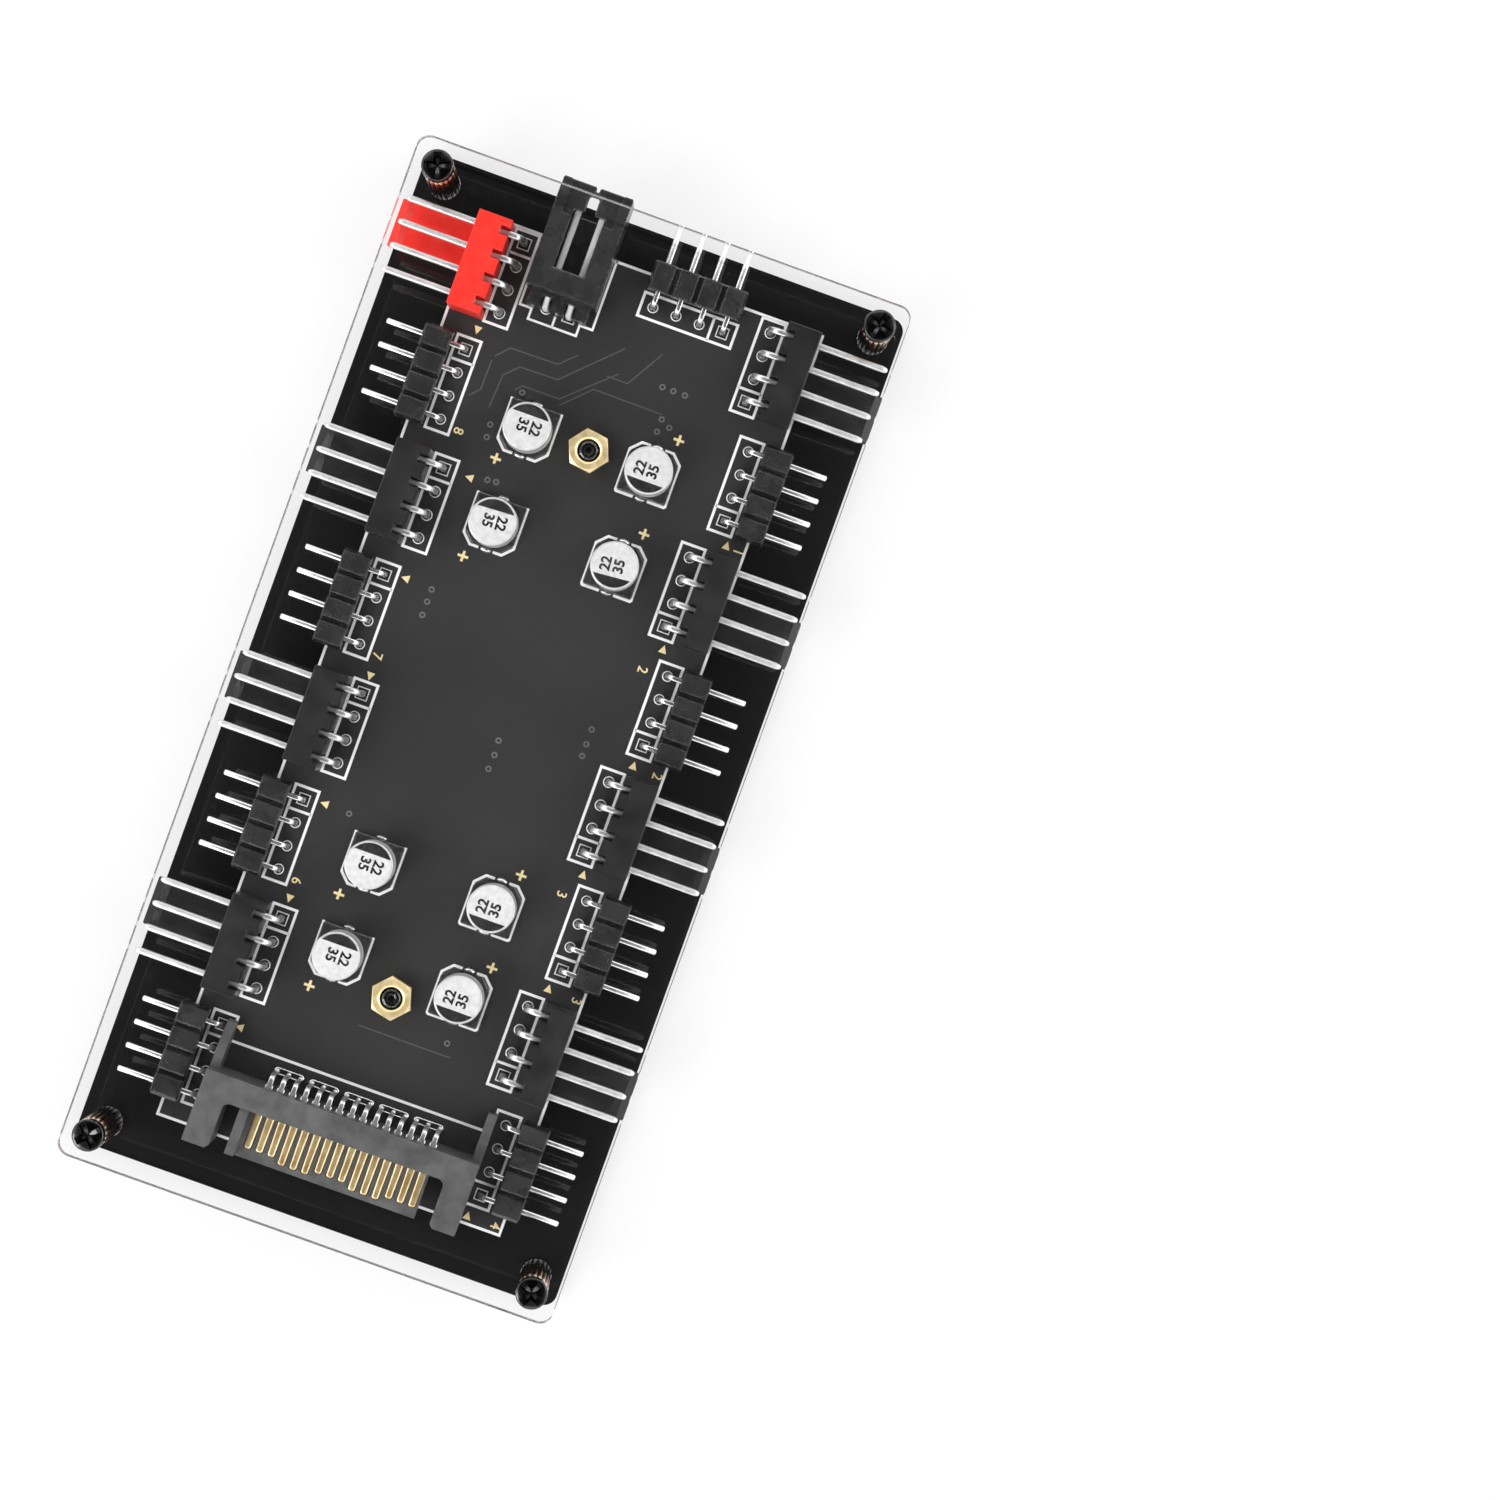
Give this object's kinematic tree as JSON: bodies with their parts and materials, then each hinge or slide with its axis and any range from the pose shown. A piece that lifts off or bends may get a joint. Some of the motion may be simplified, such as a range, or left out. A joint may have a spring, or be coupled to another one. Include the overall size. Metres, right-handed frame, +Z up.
{
  "type": "pc fan controller hub",
  "caption": "Flat fan and lighting hub: a black circuit board with right-angle pin headers, a power input and a control input, held between a black base plate and a clear cover.",
  "frame": {"origin": "centre of the base plate's underside", "axes": "+Z up through the cover, +Y along the plates to the end with the control and light inputs, +X to the right seen from above"},
  "size_m": [0.0532, 0.1106, 0.0173],
  "materials": {
    "black_acrylic": "polished black acrylic",
    "clear_acrylic": "polished clear acrylic",
    "circuit_board": "matt black solder mask",
    "standoff_brass": "ridged brass, dulled to copper brown",
    "black_screw": "black zinc plating",
    "spacer_nylon": "black nylon",
    "nut_brass": "bright brass",
    "header_red": "red moulded plastic",
    "header_black": "black moulded plastic",
    "connector_grey": "grey-black moulded plastic",
    "contact_gold": "thin gold plating",
    "can_aluminium": "bright drawn aluminium, black segment on top",
    "pin_tin": "bright tin plating",
    "print_white": "white board print",
    "print_gold": "bare gold-plated copper",
    "solder": "bright solder"
  },
  "bodies": {
    "root": {"base_plate": "black_acrylic", "board_nuts": "nut_brass", "board_spacers": "spacer_nylon", "capacitor_bases": "header_black", "capacitor_can_left_1": "can_aluminium", "capacitor_can_left_2": "can_aluminium", "capacitor_can_left_3": "can_aluminium", "capacitor_can_left_4": "can_aluminium", "capacitor_can_right_1": "can_aluminium", "capacitor_can_right_2": "can_aluminium", "capacitor_can_right_3": "can_aluminium", "capacitor_can_right_4": "can_aluminium", "capacitor_leads": "pin_tin", "circuit_board": "circuit_board", "control_input_housing": "header_black", "control_input_pins": "pin_tin", "corner_standoffs": "standoff_brass", "cover_plate": "clear_acrylic", "cover_screws": "black_screw", "fan_header_left_1_housing": "header_red", "fan_header_left_1_pins": "pin_tin", "fan_header_left_2_housing": "header_black", "fan_header_left_2_pins": "pin_tin", "fan_header_left_3_housing": "header_black", "fan_header_left_3_pins": "pin_tin", "fan_header_left_4_housing": "header_black", "fan_header_left_4_pins": "pin_tin", "fan_header_right_1_housing": "header_black", "fan_header_right_1_pins": "pin_tin", "fan_header_right_2_housing": "header_black", "fan_header_right_2_pins": "pin_tin", "fan_header_right_3_housing": "header_black", "fan_header_right_3_pins": "pin_tin", "fan_header_right_4_housing": "header_black", "fan_header_right_4_pins": "pin_tin", "power_input_contacts": "contact_gold", "power_input_housing": "connector_grey", "rgb_header_left_1_housing": "header_black", "rgb_header_left_1_pins": "pin_tin", "rgb_header_left_2_housing": "header_black", "rgb_header_left_2_pins": "pin_tin", "rgb_header_left_3_housing": "header_black", "rgb_header_left_3_pins": "pin_tin", "rgb_header_left_4_housing": "header_black", "rgb_header_left_4_pins": "pin_tin", "rgb_header_right_1_housing": "header_black", "rgb_header_right_1_pins": "pin_tin", "rgb_header_right_2_housing": "header_black", "rgb_header_right_2_pins": "pin_tin", "rgb_header_right_3_housing": "header_black", "rgb_header_right_3_pins": "pin_tin", "rgb_header_right_4_housing": "header_black", "rgb_header_right_4_pins": "pin_tin", "rgb_input_housing": "header_black", "rgb_input_pins": "pin_tin", "underside_screws": "black_screw"}
  },
  "joints": []
}
